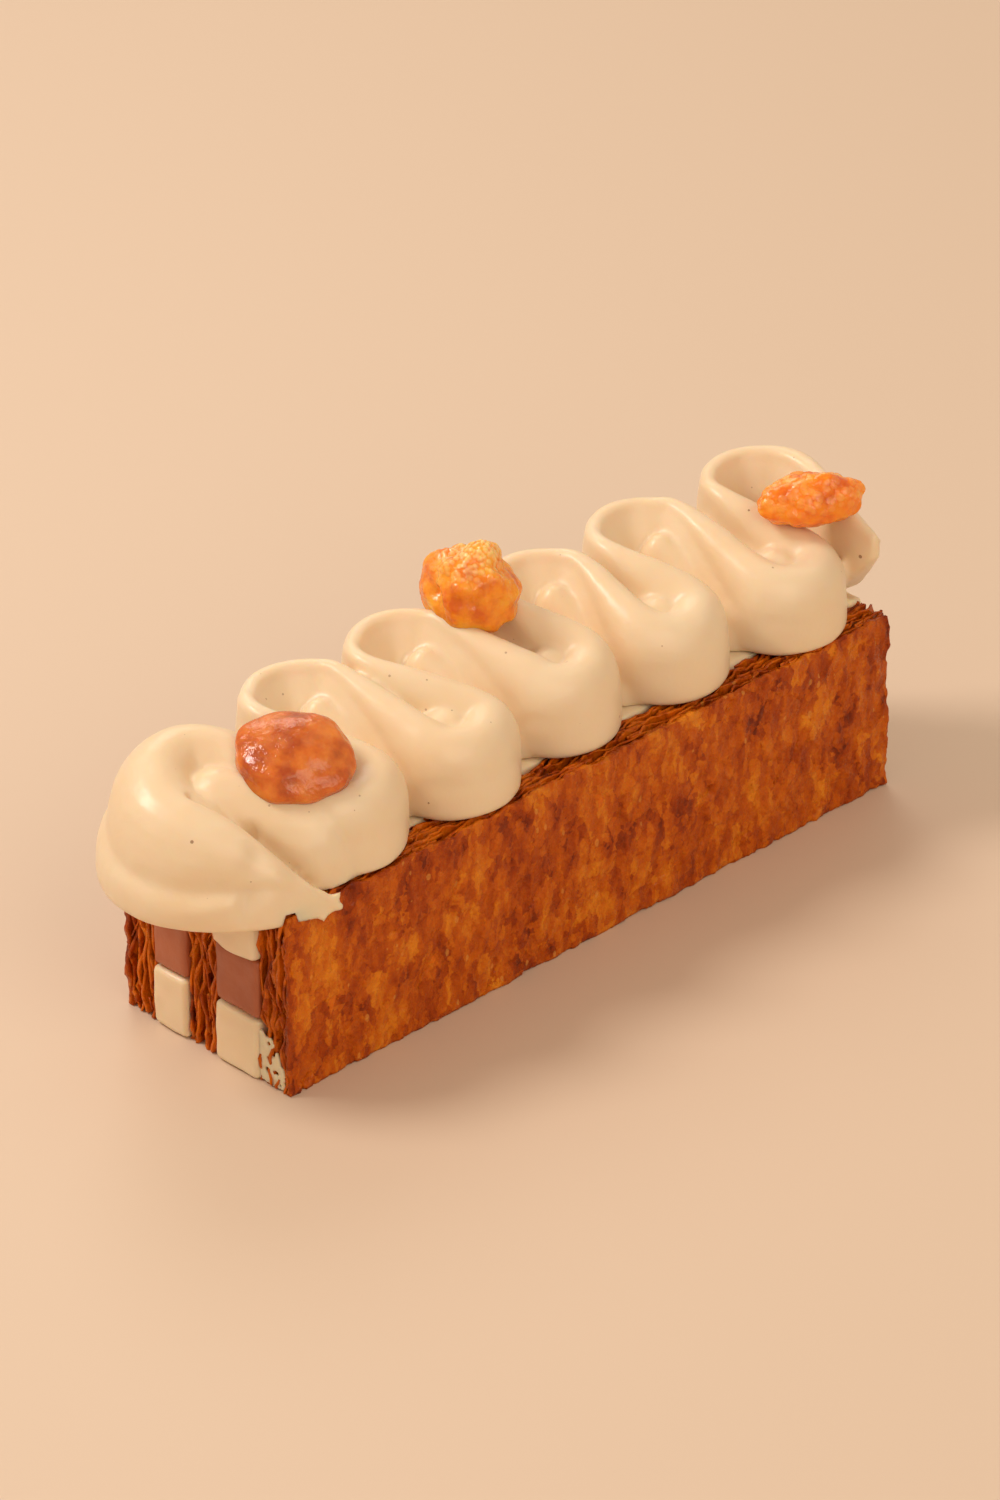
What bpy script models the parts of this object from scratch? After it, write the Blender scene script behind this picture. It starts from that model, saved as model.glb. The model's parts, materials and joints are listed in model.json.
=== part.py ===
# A mille-feuille slice stood on its edge. Three sheets of puff pastry stand upright with two fillings
# between them, each a band of praline between two bands of vanilla cream. A ribbon of piped cream winds
# from side to side along the top and carries three pieces of candied fruit.
# Metres, +Z up. X runs along the slice from its near end, -Y is the front sheet's broad face, and the
# origin is the middle of the whole piece on the surface that it stands on.
import math

import bmesh
import bpy
from mathutils import Matrix, Vector, noise

# Driving sizes of the block
LENGTH = 0.125
HEIGHT = 0.030
FRONT_SHEET = 0.0066
FRONT_GAP = 0.0088
MIDDLE_SHEET = 0.0063
BACK_GAP = 0.0069
BACK_SHEET = 0.0064
WIDTH = FRONT_SHEET + FRONT_GAP + MIDDLE_SHEET + BACK_GAP + BACK_SHEET
CLEARANCE = 0.0003

# The ribbon hangs over the near end and a little over the front, so the block sits off the middle
BLOCK_SHIFT = 0.0042
BLOCK_BACK = 0.0008
NEAR_END = -LENGTH / 2 + BLOCK_SHIFT
FRONT = -WIDTH / 2 + BLOCK_BACK

# Relief of the baked sheets: how deep the broad faces, the top edge and the cut ends are cut into,
# and how many millimetres one bump is long and high. Every second leaf stands out, at a lower depth.
# A strip at the foot of each broad face stays flat.
FACE_RELIEF = 0.0009
EDGE_RELIEF = 0.0011
END_RELIEF = 0.0013
BUMP_LENGTH = 4.6
BUMP_HEIGHT = 9.0
LEAVES = 4
SHALLOW = 0.45
FLAT_FOOT = 0.001
SHEET_CUTS = (26, LEAVES, 6)

# Heights where a filling changes from cream to praline and back, and how round its bands are
PRALINE_BOTTOM = 0.0100
PRALINE_TOP = 0.0198
BAND_ROUNDING = 0.0012
BAND_BULGE = 0.0007
BAND_EDGE_ANGLE = math.radians(50)

# The ribbon's section: a foot tucked in at the bottom, sides that draw in, and a rounded rim that stands
# out from the turn's centre. In front it is low and full, and at the back tall with a thin rim.
FOOT_HALF = 0.0053
FOOT_TUCK = ((0.0, 0.84), (0.08, 0.96))
SIDE_SHARES = (0.22, 0.42, 0.60, 0.75, 0.88, 1.0)
RIM_FRONT = 0.0046
RIM_BACK = 0.0014
OFFSET_FRONT = 0.0007
OFFSET_BACK = 0.0030
FULL_FRONT = 6.0
FULL_BACK = 1.8
HEIGHT_FRONT = 0.0130
HEIGHT_BACK = 0.0173
RISE_FROM = 0.006
RISE_TO = 0.025
RIM_ROUNDNESS = 0.85
RIM_STEPS = 3

# The ribbon's turns: their centres, along the block from its near end and across it from its front
FRONT_TURNS = ((0.0190, 0.0104), (0.0414, 0.0104), (0.0643, 0.0124), (0.0866, 0.0120), (0.1100, 0.0100))
BACK_TURNS = ((0.0260, 0.0234), (0.0470, 0.0236), (0.0738, 0.0226), (0.0960, 0.0232), (0.1200, 0.0226))
TURN_RADIUS = 0.0053
TURN_STEPS = 4

# Each station of the ribbon has its place along and across the block, half-widths of foot and rim,
# height, drop below the block's top, how far the rim stands out to the right of the route, and how
# full the sides are. It starts as a thin tail on the front edge, and swells round the near end.
START_STATIONS = (
    (0.0088, -0.0004, 0.0014, 0.0008, 0.0022, 0.0022, 0.0, 3.0),
    (0.0046, 0.0022, 0.0036, 0.0028, 0.0070, 0.0022, 0.0, 3.0),
    (0.0000, 0.0068, 0.0062, 0.0044, 0.0108, 0.0022, 0.0, 3.0),
    (-0.0034, 0.0132, 0.0084, 0.0068, 0.0136, 0.0022, 0.0, 4.0),
    (-0.0046, 0.0200, 0.0091, 0.0075, 0.0156, 0.0020, 0.0, 4.0),
    (-0.0014, 0.0256, 0.0083, 0.0067, 0.0170, 0.0006, 0.0, 4.0),
    (0.0046, 0.0268, 0.0072, 0.0058, 0.0176, 0.0, -0.0004, 4.0),
    (0.0090, 0.0238, 0.0066, 0.0056, 0.0170, 0.0, 0.0, 4.0),
    (0.0110, 0.0176, 0.0060, 0.0054, 0.0156, 0.0, 0.0, 5.0),
)
# It ends along the far end, where it is torn off to a point that stands clear of the block
END_STATIONS = (
    (0.1252, 0.0156, 0.0040, 0.0014, 0.0164, 0.0, -0.0012, 2.0),
    (0.1246, 0.0102, 0.0032, 0.0014, 0.0152, 0.0, 0.0, 2.0),
    (0.1240, 0.0062, 0.0022, 0.0012, 0.0138, -0.0040, 0.0, 2.0),
    (0.1238, 0.0026, 0.0009, 0.0005, 0.0126, -0.0088, 0.0, 2.0),
)
STEPS_BETWEEN = 2

# Mesh fineness of the ribbon
RIBBON_VOXEL = 0.0011
SMOOTHING = 0.5
SMOOTHING_ROUNDS = 2
RIBBON_TRIANGLES = 4600

# The fruit: centre along and across the block and over its top, half sizes, turn about Z and tilt back
# in degrees, and the seed of its bumps
FRUIT = {
    "fruit_near": ((0.0138, 0.0128, 0.0152), (0.0092, 0.0080, 0.0040), -41, 24, 3),
    "fruit_middle": ((0.0604, 0.0246, 0.0202), (0.0070, 0.0064, 0.0066), -41, 0, 7),
    "fruit_far": ((0.1181, 0.0111, 0.0177), (0.0080, 0.0046, 0.0042), -34, 10, 11),
}
FRUIT_RELIEF = 0.20
BROAD_BUMPS = 1.1
FINE_BUMPS = 2.6


def clear_scene():
    for old in list(bpy.data.objects):
        bpy.data.objects.remove(old, do_unlink=True)


def new_collection(name):
    collection = bpy.data.collections.new(name)
    bpy.context.scene.collection.children.link(collection)
    return collection


def new_material(name, colour, roughness):
    material = bpy.data.materials.new(name)
    material.use_nodes = True
    shader = material.node_tree.nodes["Principled BSDF"]
    shader.inputs["Base Color"].default_value = (*colour, 1.0)
    shader.inputs["Roughness"].default_value = roughness
    shader.inputs["Metallic"].default_value = 0.0
    return material


def new_object(name, bm, collection, material=None):
    mesh = bpy.data.meshes.new(name)
    bmesh.ops.recalc_face_normals(bm, faces=bm.faces)
    bm.to_mesh(mesh)
    bm.free()
    mesh.shade_smooth()
    obj = bpy.data.objects.new(name, mesh)
    collection.objects.link(obj)
    if material:
        mesh.materials.append(material)
    return obj


def in_block(along, across, over=0.0):
    """A place counted from the block's near end, front plane and top."""
    return Vector((NEAR_END + along, FRONT + across, HEIGHT + over))


def gridded_block(low, high, cuts):
    """A box with each side divided into a grid."""
    bm = bmesh.new()
    bmesh.ops.create_cube(bm, size=1.0)
    for axis, count in enumerate(cuts):
        along = [e for e in bm.edges if abs((e.verts[0].co - e.verts[1].co)[axis]) > 0.5]
        if count > 1:
            bmesh.ops.subdivide_edges(bm, edges=along, cuts=count - 1, use_grid_fill=True)
    size = high - low
    for v in bm.verts:
        v.co = low + Vector([size[i] * (v.co[i] + 0.5) for i in range(3)])
    return bm


def crag(x, y, z, seed):
    """Relief from 0 to 1 at a place counted in bumps."""
    place = Vector((x + 3.7 * seed, y + 1.3 * seed, z + 5.1 * seed))
    return min(1.0, max(0.0, 0.5 + 0.85 * noise.noise(place)))


def pastry_sheet(name, across, thickness, outer_side, seed, collection, material):
    """An upright baked sheet. outer_side is -1 or 1 where its broad face shows, and 0 where neither does."""
    low = Vector((NEAR_END, FRONT + across, 0.0))
    high = Vector((NEAR_END + LENGTH, FRONT + across + thickness, HEIGHT))
    bm = gridded_block(low, high, SHEET_CUTS)
    near_plane = low.x + CLEARANCE / 10
    far_plane = high.x - CLEARANCE / 10
    top_plane = high.z - CLEARANCE / 10
    for v in bm.verts:
        x, _, z = (v.co - low) * 1000
        leaf = round((v.co.y - low.y) / thickness * LEAVES)
        on_broad = (outer_side < 0 and leaf == 0) or (outer_side > 0 and leaf == LEAVES)
        on_top = v.co.z > top_plane
        on_near = v.co.x < near_plane
        on_far = v.co.x > far_plane
        groove = 1.0 if leaf % 2 else SHALLOW
        if on_broad and v.co.z > FLAT_FOOT:
            v.co.y -= outer_side * FACE_RELIEF * crag(x / BUMP_LENGTH, 0, z / BUMP_HEIGHT, seed)
        if on_top:
            v.co.z -= EDGE_RELIEF * groove * crag(x / BUMP_LENGTH, leaf, 0, seed + 1)
        if on_near:
            v.co.x += END_RELIEF * groove * crag(0, leaf, z / BUMP_LENGTH, seed + 2)
        if on_far:
            v.co.x -= END_RELIEF * groove * crag(0, leaf, z / BUMP_LENGTH, seed + 3)
    return new_object(name, bm, collection, material)


def filling_band(name, across, gap, z_low, z_high, seed, collection, material):
    """One band between two sheets, along the whole block, a little proud in the middle of each end."""
    low = Vector((NEAR_END + CLEARANCE, FRONT + across + CLEARANCE, z_low + CLEARANCE / 2))
    high = Vector((NEAR_END + LENGTH - CLEARANCE, FRONT + across + gap - CLEARANCE, z_high - CLEARANCE / 2))
    bm = gridded_block(low, high, (1, 2, 2))
    middle = (low + high) / 2
    for v in bm.verts:
        out = 1 if v.co.x > middle.x else -1
        across_share = abs(v.co.y - middle.y) / (high.y - low.y) * 2
        up_share = abs(v.co.z - middle.z) / (high.z - low.z) * 2
        proud = (1 - across_share) * (1 - up_share)
        v.co.x += out * BAND_BULGE * (proud - crag(out, seed, v.co.z, seed) / 2)
    obj = new_object(name, bm, collection, material)
    bevel = obj.modifiers.new("rounded edges", "BEVEL")
    bevel.width = BAND_ROUNDING
    bevel.segments = 2
    bevel.limit_method = "ANGLE"
    bevel.angle_limit = BAND_EDGE_ANGLE
    return obj


def smooth_step(value, low, high):
    share = min(1.0, max(0.0, (value - low) / (high - low)))
    return share * share * (3 - 2 * share)


def smooth_through(stations, steps):
    """Catmull-Rom curve through the stations, with steps stretches between each two."""
    rows = [Vector(row) for row in stations]
    rows = [rows[0] * 2 - rows[1], *rows, rows[-1] * 2 - rows[-2]]
    line = []
    for a, b, c, d in zip(rows, rows[1:], rows[2:], rows[3:]):
        for k in range(steps):
            t = k / steps
            square = (2 * a - 5 * b + 4 * c - d) * t**2
            cube = (3 * (b - c) + d - a) * t**3
            line.append((2 * b + (c - a) * t + square + cube) / 2)
    line.append(rows[-2])
    return line


def turn_stations():
    """Stations round every turn, from the first front turn to the last back one."""
    turns = [turn for pair in zip(FRONT_TURNS, BACK_TURNS) for turn in pair]
    stations = []
    for k, (along, across) in enumerate(turns):
        side = -1 if k % 2 == 0 else 1
        for n in range(TURN_STEPS + 1):
            angle = math.pi * n / TURN_STEPS
            x = along - TURN_RADIUS * math.cos(angle)
            y = across + side * TURN_RADIUS * math.sin(angle)
            rise = smooth_step(y, RISE_FROM, RISE_TO)
            height = HEIGHT_FRONT + (HEIGHT_BACK - HEIGHT_FRONT) * rise
            rim = RIM_FRONT + (RIM_BACK - RIM_FRONT) * rise
            offset = -side * (OFFSET_FRONT if side < 0 else OFFSET_BACK)
            full = FULL_FRONT + (FULL_BACK - FULL_FRONT) * rise
            stations.append((x, y, FOOT_HALF, rim, height, 0.0, offset, full))
    return stations


def ribbon_section(foot, rim, height, offset, full):
    """The section's outline, sideways and up, from the right foot over the rim to the left one."""
    shoulder = height - RIM_ROUNDNESS * rim
    outline = []
    for side in (1, -1):
        flank = [(side * foot * tuck, shoulder * share) for share, tuck in FOOT_TUCK]
        for share in SIDE_SHARES:
            drawn = share**full
            flank.append((side * foot * (1 - drawn) + (offset + side * rim) * drawn, shoulder * share))
        for k in range(1, RIM_STEPS + 1):
            turn = math.pi / 2 * k / (RIM_STEPS + 0.5)
            up = shoulder + (height - shoulder) * math.sin(turn)
            flank.append((offset + side * rim * math.cos(turn), up))
        outline += flank if side > 0 else reversed(flank)
    return outline


def piped_ribbon(collection, material):
    stations = smooth_through([*START_STATIONS, *turn_stations(), *END_STATIONS], STEPS_BETWEEN)
    bm = bmesh.new()
    loops = []
    for k, (along, across, foot, rim, height, drop, offset, full) in enumerate(stations):
        ahead = stations[min(k + 1, len(stations) - 1)] - stations[max(k - 1, 0)]
        right = Vector((ahead[1], -ahead[0], 0)).normalized()
        outline = ribbon_section(foot, rim, height + drop, offset, full)
        loops.append([bm.verts.new(in_block(along, across, up - drop) + right * out) for out, up in outline])
    for near, far in zip(loops, loops[1:]):
        for k in range(len(near)):
            n = (k + 1) % len(near)
            bm.faces.new((near[k], near[n], far[n], far[k]))
    for loop in (loops[0], loops[-1]):
        bm.faces.new(loop)
    obj = new_object("piped_cream", bm, collection, material)
    fuse = obj.modifiers.new("fuse the turns", "REMESH")
    fuse.mode = "VOXEL"
    fuse.voxel_size = RIBBON_VOXEL
    fuse.use_smooth_shade = True
    soften = obj.modifiers.new("soften", "SMOOTH")
    soften.factor = SMOOTHING
    soften.iterations = SMOOTHING_ROUNDS
    return obj


def fruit_lump(name, swell, collection, material=None):
    """A craggy lump of candied fruit. swell makes the seat that it lies in a little larger."""
    (along, across, over), half, turn, tilt, seed = FRUIT[name]
    bm = bmesh.new()
    bmesh.ops.create_icosphere(bm, subdivisions=3, radius=1.0)
    for v in bm.verts:
        way = v.co.copy()
        broad = noise.noise(way * BROAD_BUMPS + Vector((seed, 0, 0)))
        fine = noise.noise(way * FINE_BUMPS + Vector((0, seed, 0)))
        v.co = way * (1 + FRUIT_RELIEF * (broad + fine / 2))
        v.co = Vector([v.co[i] * half[i] + way[i] * swell for i in range(3)])
    spin = Matrix.Rotation(math.radians(turn), 4, "Z") @ Matrix.Rotation(math.radians(tilt), 4, "X")
    bmesh.ops.transform(bm, matrix=Matrix.Translation(in_block(along, across, over)) @ spin, verts=bm.verts)
    return new_object(name if material else name + "_seat", bm, collection, material)


def cut_away(obj, cutter):
    cutter.hide_render = True
    cutter.display_type = "WIRE"
    cut = obj.modifiers.new("clear of " + cutter.name, "BOOLEAN")
    cut.operation = "DIFFERENCE"
    cut.object = cutter


def thin_out(obj, wanted):
    """Brings a finely faceted piece down to about so many triangles."""
    mesh = obj.evaluated_get(bpy.context.evaluated_depsgraph_get()).data
    mesh.calc_loop_triangles()
    triangles = len(mesh.loop_triangles)
    thin = obj.modifiers.new("fewer faces", "DECIMATE")
    thin.ratio = min(1.0, wanted / triangles)


def main():
    clear_scene()
    parts = new_collection("mille_feuille_slice")
    cutters = new_collection("cutters")
    pastry = new_material("baked pastry", (0.55, 0.20, 0.05), 0.40)
    cream = new_material("vanilla cream", (0.87, 0.72, 0.50), 0.42)
    praline = new_material("praline cream", (0.40, 0.17, 0.10), 0.45)
    fruit = new_material("candied fruit", (0.80, 0.30, 0.06), 0.18)

    middle_at = FRONT_SHEET + FRONT_GAP
    back_at = middle_at + MIDDLE_SHEET + BACK_GAP
    pastry_sheet("pastry_front", 0.0, FRONT_SHEET, -1, 1, parts, pastry)
    pastry_sheet("pastry_middle", middle_at, MIDDLE_SHEET, 0, 6, parts, pastry)
    pastry_sheet("pastry_back", back_at, BACK_SHEET, 1, 11, parts, pastry)

    gaps = (("front", FRONT_SHEET, FRONT_GAP), ("back", middle_at + MIDDLE_SHEET, BACK_GAP))
    bands = (
        ("cream_lower", 0.0, PRALINE_BOTTOM, cream),
        ("praline", PRALINE_BOTTOM, PRALINE_TOP, praline),
        ("cream_upper", PRALINE_TOP, HEIGHT, cream),
    )
    for g, (where, across, gap) in enumerate(gaps):
        for b, (what, z_low, z_high, material) in enumerate(bands):
            filling_band(f"{what}_{where}", across, gap, z_low, z_high, 3 * g + b, parts, material)

    ribbon = piped_ribbon(parts, cream)
    bm = gridded_block(
        in_block(-CLEARANCE, -CLEARANCE, -2 * HEIGHT),
        in_block(LENGTH + CLEARANCE, WIDTH + CLEARANCE, CLEARANCE),
        (1, 1, 1),
    )
    cut_away(ribbon, new_object("block_clearance", bm, cutters))
    for name in FRUIT:
        fruit_lump(name, 0.0, parts, fruit)
        cut_away(ribbon, fruit_lump(name, CLEARANCE, cutters))
    thin_out(ribbon, RIBBON_TRIANGLES)


main()
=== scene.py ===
# Looks of a mille-feuille slice that stands on its edge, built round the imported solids
import json
import math
import random

import bmesh
import bpy
from mathutils import Matrix, Vector, noise

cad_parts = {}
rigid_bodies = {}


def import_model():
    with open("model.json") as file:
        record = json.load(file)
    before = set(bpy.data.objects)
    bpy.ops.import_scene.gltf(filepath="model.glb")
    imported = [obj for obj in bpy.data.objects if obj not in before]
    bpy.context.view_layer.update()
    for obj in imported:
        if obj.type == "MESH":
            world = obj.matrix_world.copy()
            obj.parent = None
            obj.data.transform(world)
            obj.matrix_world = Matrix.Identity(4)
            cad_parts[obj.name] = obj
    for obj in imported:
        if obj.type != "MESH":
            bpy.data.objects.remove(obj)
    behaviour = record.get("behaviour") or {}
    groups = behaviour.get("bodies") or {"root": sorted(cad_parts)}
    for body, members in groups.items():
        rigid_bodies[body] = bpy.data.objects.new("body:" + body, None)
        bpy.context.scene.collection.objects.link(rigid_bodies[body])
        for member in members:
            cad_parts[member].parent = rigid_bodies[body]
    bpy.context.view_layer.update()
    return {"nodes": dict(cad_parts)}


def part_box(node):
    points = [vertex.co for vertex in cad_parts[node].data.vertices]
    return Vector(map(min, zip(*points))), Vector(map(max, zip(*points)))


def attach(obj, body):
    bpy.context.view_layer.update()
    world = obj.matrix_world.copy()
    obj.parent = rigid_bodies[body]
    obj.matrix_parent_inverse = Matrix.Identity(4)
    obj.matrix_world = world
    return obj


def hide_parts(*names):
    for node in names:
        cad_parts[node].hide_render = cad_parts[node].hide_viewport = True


mm = 0.001

for leftOver in list(bpy.data.objects):
    bpy.data.objects.remove(leftOver, do_unlink=True)
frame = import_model()
print("frame loaded:", len(frame["nodes"]), "nodes")

# The block of pastry and filling under the ribbon, in mm. Every place below is counted from its near
# end (along), its front face (across) and its top (over).
block = {
    "nearEnd": -58.3,
    "length": 125.0,
    "height": 30.0,
    "front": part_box("pastry_front")[0].y / mm,
    "back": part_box("pastry_back")[1].y / mm,
}


def inBlock(along, across, over=0.0):
    return Vector((block["nearEnd"] + along, block["front"] + across, block["height"] + over)) * mm


def smoothStep(value, low, high):
    share = min(1.0, max(0.0, (value - low) / (high - low)))
    return share * share * (3 - 2 * share)


def mix(a, b, share):
    return a + (b - a) * share


# Helpers that turn a bmesh into a piece

def addPiece(name, bm, material, node):
    mesh = bpy.data.meshes.new(name)
    bm.to_mesh(mesh)
    bm.free()
    mesh.shade_smooth()
    mesh.materials.append(material)
    piece = bpy.data.objects.new(name, mesh)
    bpy.context.scene.collection.objects.link(piece)
    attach(piece, "root")
    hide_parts(node)
    return piece


def finishMesh(piece):
    # the modifiers become part of the mesh
    view = bpy.context.evaluated_depsgraph_get()
    finished = bpy.data.meshes.new_from_object(piece.evaluated_get(view))
    piece.modifiers.clear()
    piece.data = finished
    return finished


def fuse(piece, voxel, smoothRounds):
    # one clean skin round everything in the mesh, with its creases softened
    remesh = piece.modifiers.new("one skin", "REMESH")
    remesh.mode = "VOXEL"
    remesh.voxel_size = voxel * mm
    remesh.use_smooth_shade = True
    soften = piece.modifiers.new("soften", "SMOOTH")
    soften.factor = 0.5
    soften.iterations = smoothRounds
    mesh = finishMesh(piece)
    mesh.shade_smooth()
    return mesh


# Material helpers. Patterns lie on Object coordinates, and sizes are in mm.

def newMaterial(name):
    material = bpy.data.materials.new(name)
    material.use_nodes = True
    tree = material.node_tree
    return material, tree, tree.nodes["Principled BSDF"]


def pattern(tree, kind, size, stretch=(1, 1, 1), shift=(0, 0, 0)):
    place = tree.nodes.new("ShaderNodeTexCoord")
    mapping = tree.nodes.new("ShaderNodeMapping")
    mapping.inputs["Location"].default_value = shift
    mapping.inputs["Scale"].default_value = [1 / (size * mm * s) for s in stretch]
    tree.links.new(place.outputs["Object"], mapping.inputs["Vector"])
    texture = tree.nodes.new(kind)
    texture.inputs["Scale"].default_value = 1.0
    tree.links.new(mapping.outputs["Vector"], texture.inputs["Vector"])
    return texture


def clouds(tree, size, detail=3.0, rough=0.55, **more):
    texture = pattern(tree, "ShaderNodeTexNoise", size, **more)
    texture.inputs["Detail"].default_value = detail
    texture.inputs["Roughness"].default_value = rough
    return texture.outputs["Fac"]


def ramp(tree, source, stops):
    node = tree.nodes.new("ShaderNodeValToRGB")
    while len(node.color_ramp.elements) < len(stops):
        node.color_ramp.elements.new(0.5)
    for element, (place, colour) in zip(node.color_ramp.elements, stops):
        element.position = place
        element.color = (*colour, 1.0) if isinstance(colour, tuple) else (colour, colour, colour, 1.0)
    tree.links.new(source, node.inputs["Fac"])
    return node.outputs["Color"]


def blend(tree, factor, first, second):
    node = tree.nodes.new("ShaderNodeMix")
    node.data_type = "RGBA"
    for socket, value in ((0, factor), (6, first), (7, second)):
        if isinstance(value, tuple):
            node.inputs[socket].default_value = (*value, 1.0)
        else:
            tree.links.new(value, node.inputs[socket])
    return node.outputs[2]


def math2(tree, how, first, second):
    node = tree.nodes.new("ShaderNodeMath")
    node.operation = how
    for socket, value in enumerate((first, second)):
        if isinstance(value, bpy.types.NodeSocket):
            tree.links.new(value, node.inputs[socket])
        else:
            node.inputs[socket].default_value = value
    return node.outputs[0]


def bump(tree, height, depth, after=None):
    node = tree.nodes.new("ShaderNodeBump")
    node.inputs["Strength"].default_value = 1.0
    node.inputs["Distance"].default_value = depth * mm
    tree.links.new(height, node.inputs["Height"])
    if after:
        tree.links.new(after, node.inputs["Normal"])
    return node.outputs["Normal"]


def cellShares(tree, cells):
    # two random numbers from 0 to 1 for each cell of a pattern
    shares = tree.nodes.new("ShaderNodeSeparateColor")
    tree.links.new(cells.outputs["Color"], shares.inputs["Color"])
    return shares.outputs["Red"], shares.outputs["Green"]


def specks(tree, spacing, size, share, shift, stretch=(1, 1, 1)):
    # 1 inside scattered dots of about that size, in that share of the cells, else 0
    cells = pattern(tree, "ShaderNodeTexVoronoi", spacing, shift=shift, stretch=stretch)
    choice, width = cellShares(tree, cells)
    reach = math2(tree, "MULTIPLY", width, size / spacing)
    inside = math2(tree, "LESS_THAN", cells.outputs["Distance"], reach)
    picked = math2(tree, "LESS_THAN", choice, share)
    return math2(tree, "MULTIPLY", inside, picked)


def flakes(tree, size, tall, shift, bendSize, bend):
    # a tone from 0 to 1 for each flake of a broken crust, with edges that a cloud makes ragged
    cells = pattern(tree, "ShaderNodeTexVoronoi", size, stretch=(1, 1, tall), shift=shift)
    cloud = pattern(tree, "ShaderNodeTexNoise", bendSize)
    straight = cells.inputs["Vector"].links[0].from_socket
    add = tree.nodes.new("ShaderNodeVectorMath")
    add.operation = "MULTIPLY_ADD"
    tree.links.new(cloud.outputs["Color"], add.inputs[0])
    add.inputs[1].default_value = (bend, bend, bend)
    tree.links.new(straight, add.inputs[2])
    tree.links.new(add.outputs[0], cells.inputs["Vector"])
    return cellShares(tree, cells)[0]


def weighted(tree, *parts):
    # the sum of some patterns, each with its weight
    total = 0.0
    for source, weight in parts:
        total = math2(tree, "ADD", total, math2(tree, "MULTIPLY", source, weight))
    return total


creamLook = {
    "colour": (0.84, 0.67, 0.455),
    "warmer": (0.82, 0.615, 0.385),
    "speck": (0.26, 0.11, 0.04),
    "glow": (1.0, 0.55, 0.25),
    "glowDepth": 2.4,
    "roughness": 0.40,
    "dotSpacing": 3.6,
    "dotSize": 0.42,
    "fineSpacing": 1.8,
    "fineSize": 0.22,
}


def creamMaterial(name, look, speckShare):
    material, tree, shader = newMaterial(name)
    tone = ramp(tree, clouds(tree, 16.0), ((0.35, look["colour"]), (0.75, look["warmer"])))
    dots = specks(tree, look["dotSpacing"], look["dotSize"], speckShare, (0.3, 0.1, 0.7))
    fine = specks(tree, look["fineSpacing"], look["fineSize"], speckShare, (0.9, 0.4, 0.2))
    spotted = blend(tree, math2(tree, "MULTIPLY", dots, 0.75), tone, look["speck"])
    spotted = blend(tree, math2(tree, "MULTIPLY", fine, 0.5), spotted, look["speck"])
    tree.links.new(spotted, shader.inputs["Base Color"])
    shader.inputs["Roughness"].default_value = look["roughness"]
    shader.inputs["Subsurface Weight"].default_value = 0.45
    shader.inputs["Subsurface Radius"].default_value = look["glow"]
    shader.inputs["Subsurface Scale"].default_value = look["glowDepth"] * mm
    shader.inputs["Coat Weight"].default_value = 0.12
    shader.inputs["Coat Roughness"].default_value = 0.22
    skin = bump(tree, clouds(tree, 1.6, 2.0), 0.05)
    tree.links.new(bump(tree, clouds(tree, 7.0, 1.0), 0.25, skin), shader.inputs["Normal"])
    return material


pralineLook = {"colour": (0.38, 0.095, 0.034), "lighter": (0.44, 0.125, 0.050), "roughness": 0.42}


def pralineMaterial(look):
    material, tree, shader = newMaterial("praline cream")
    tone = ramp(tree, clouds(tree, 6.0), ((0.35, look["colour"]), (0.7, look["lighter"])))
    tree.links.new(tone, shader.inputs["Base Color"])
    shader.inputs["Roughness"].default_value = look["roughness"]
    shader.inputs["Subsurface Weight"].default_value = 0.25
    shader.inputs["Subsurface Radius"].default_value = (1.0, 0.4, 0.2)
    shader.inputs["Subsurface Scale"].default_value = 1.5 * mm
    tree.links.new(bump(tree, clouds(tree, 1.2, 2.0), 0.08), shader.inputs["Normal"])
    return material


crustLook = {
    "darkest": (0.15, 0.018, 0.002),
    "dark": (0.17, 0.018, 0.001),
    "middle": (0.35, 0.048, 0.001),
    "amber": (0.53, 0.102, 0.002),
    "light": (0.72, 0.22, 0.010),
    "edge": (0.66, 0.145, 0.004),
    "fleck": (0.80, 0.36, 0.07),
}


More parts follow.
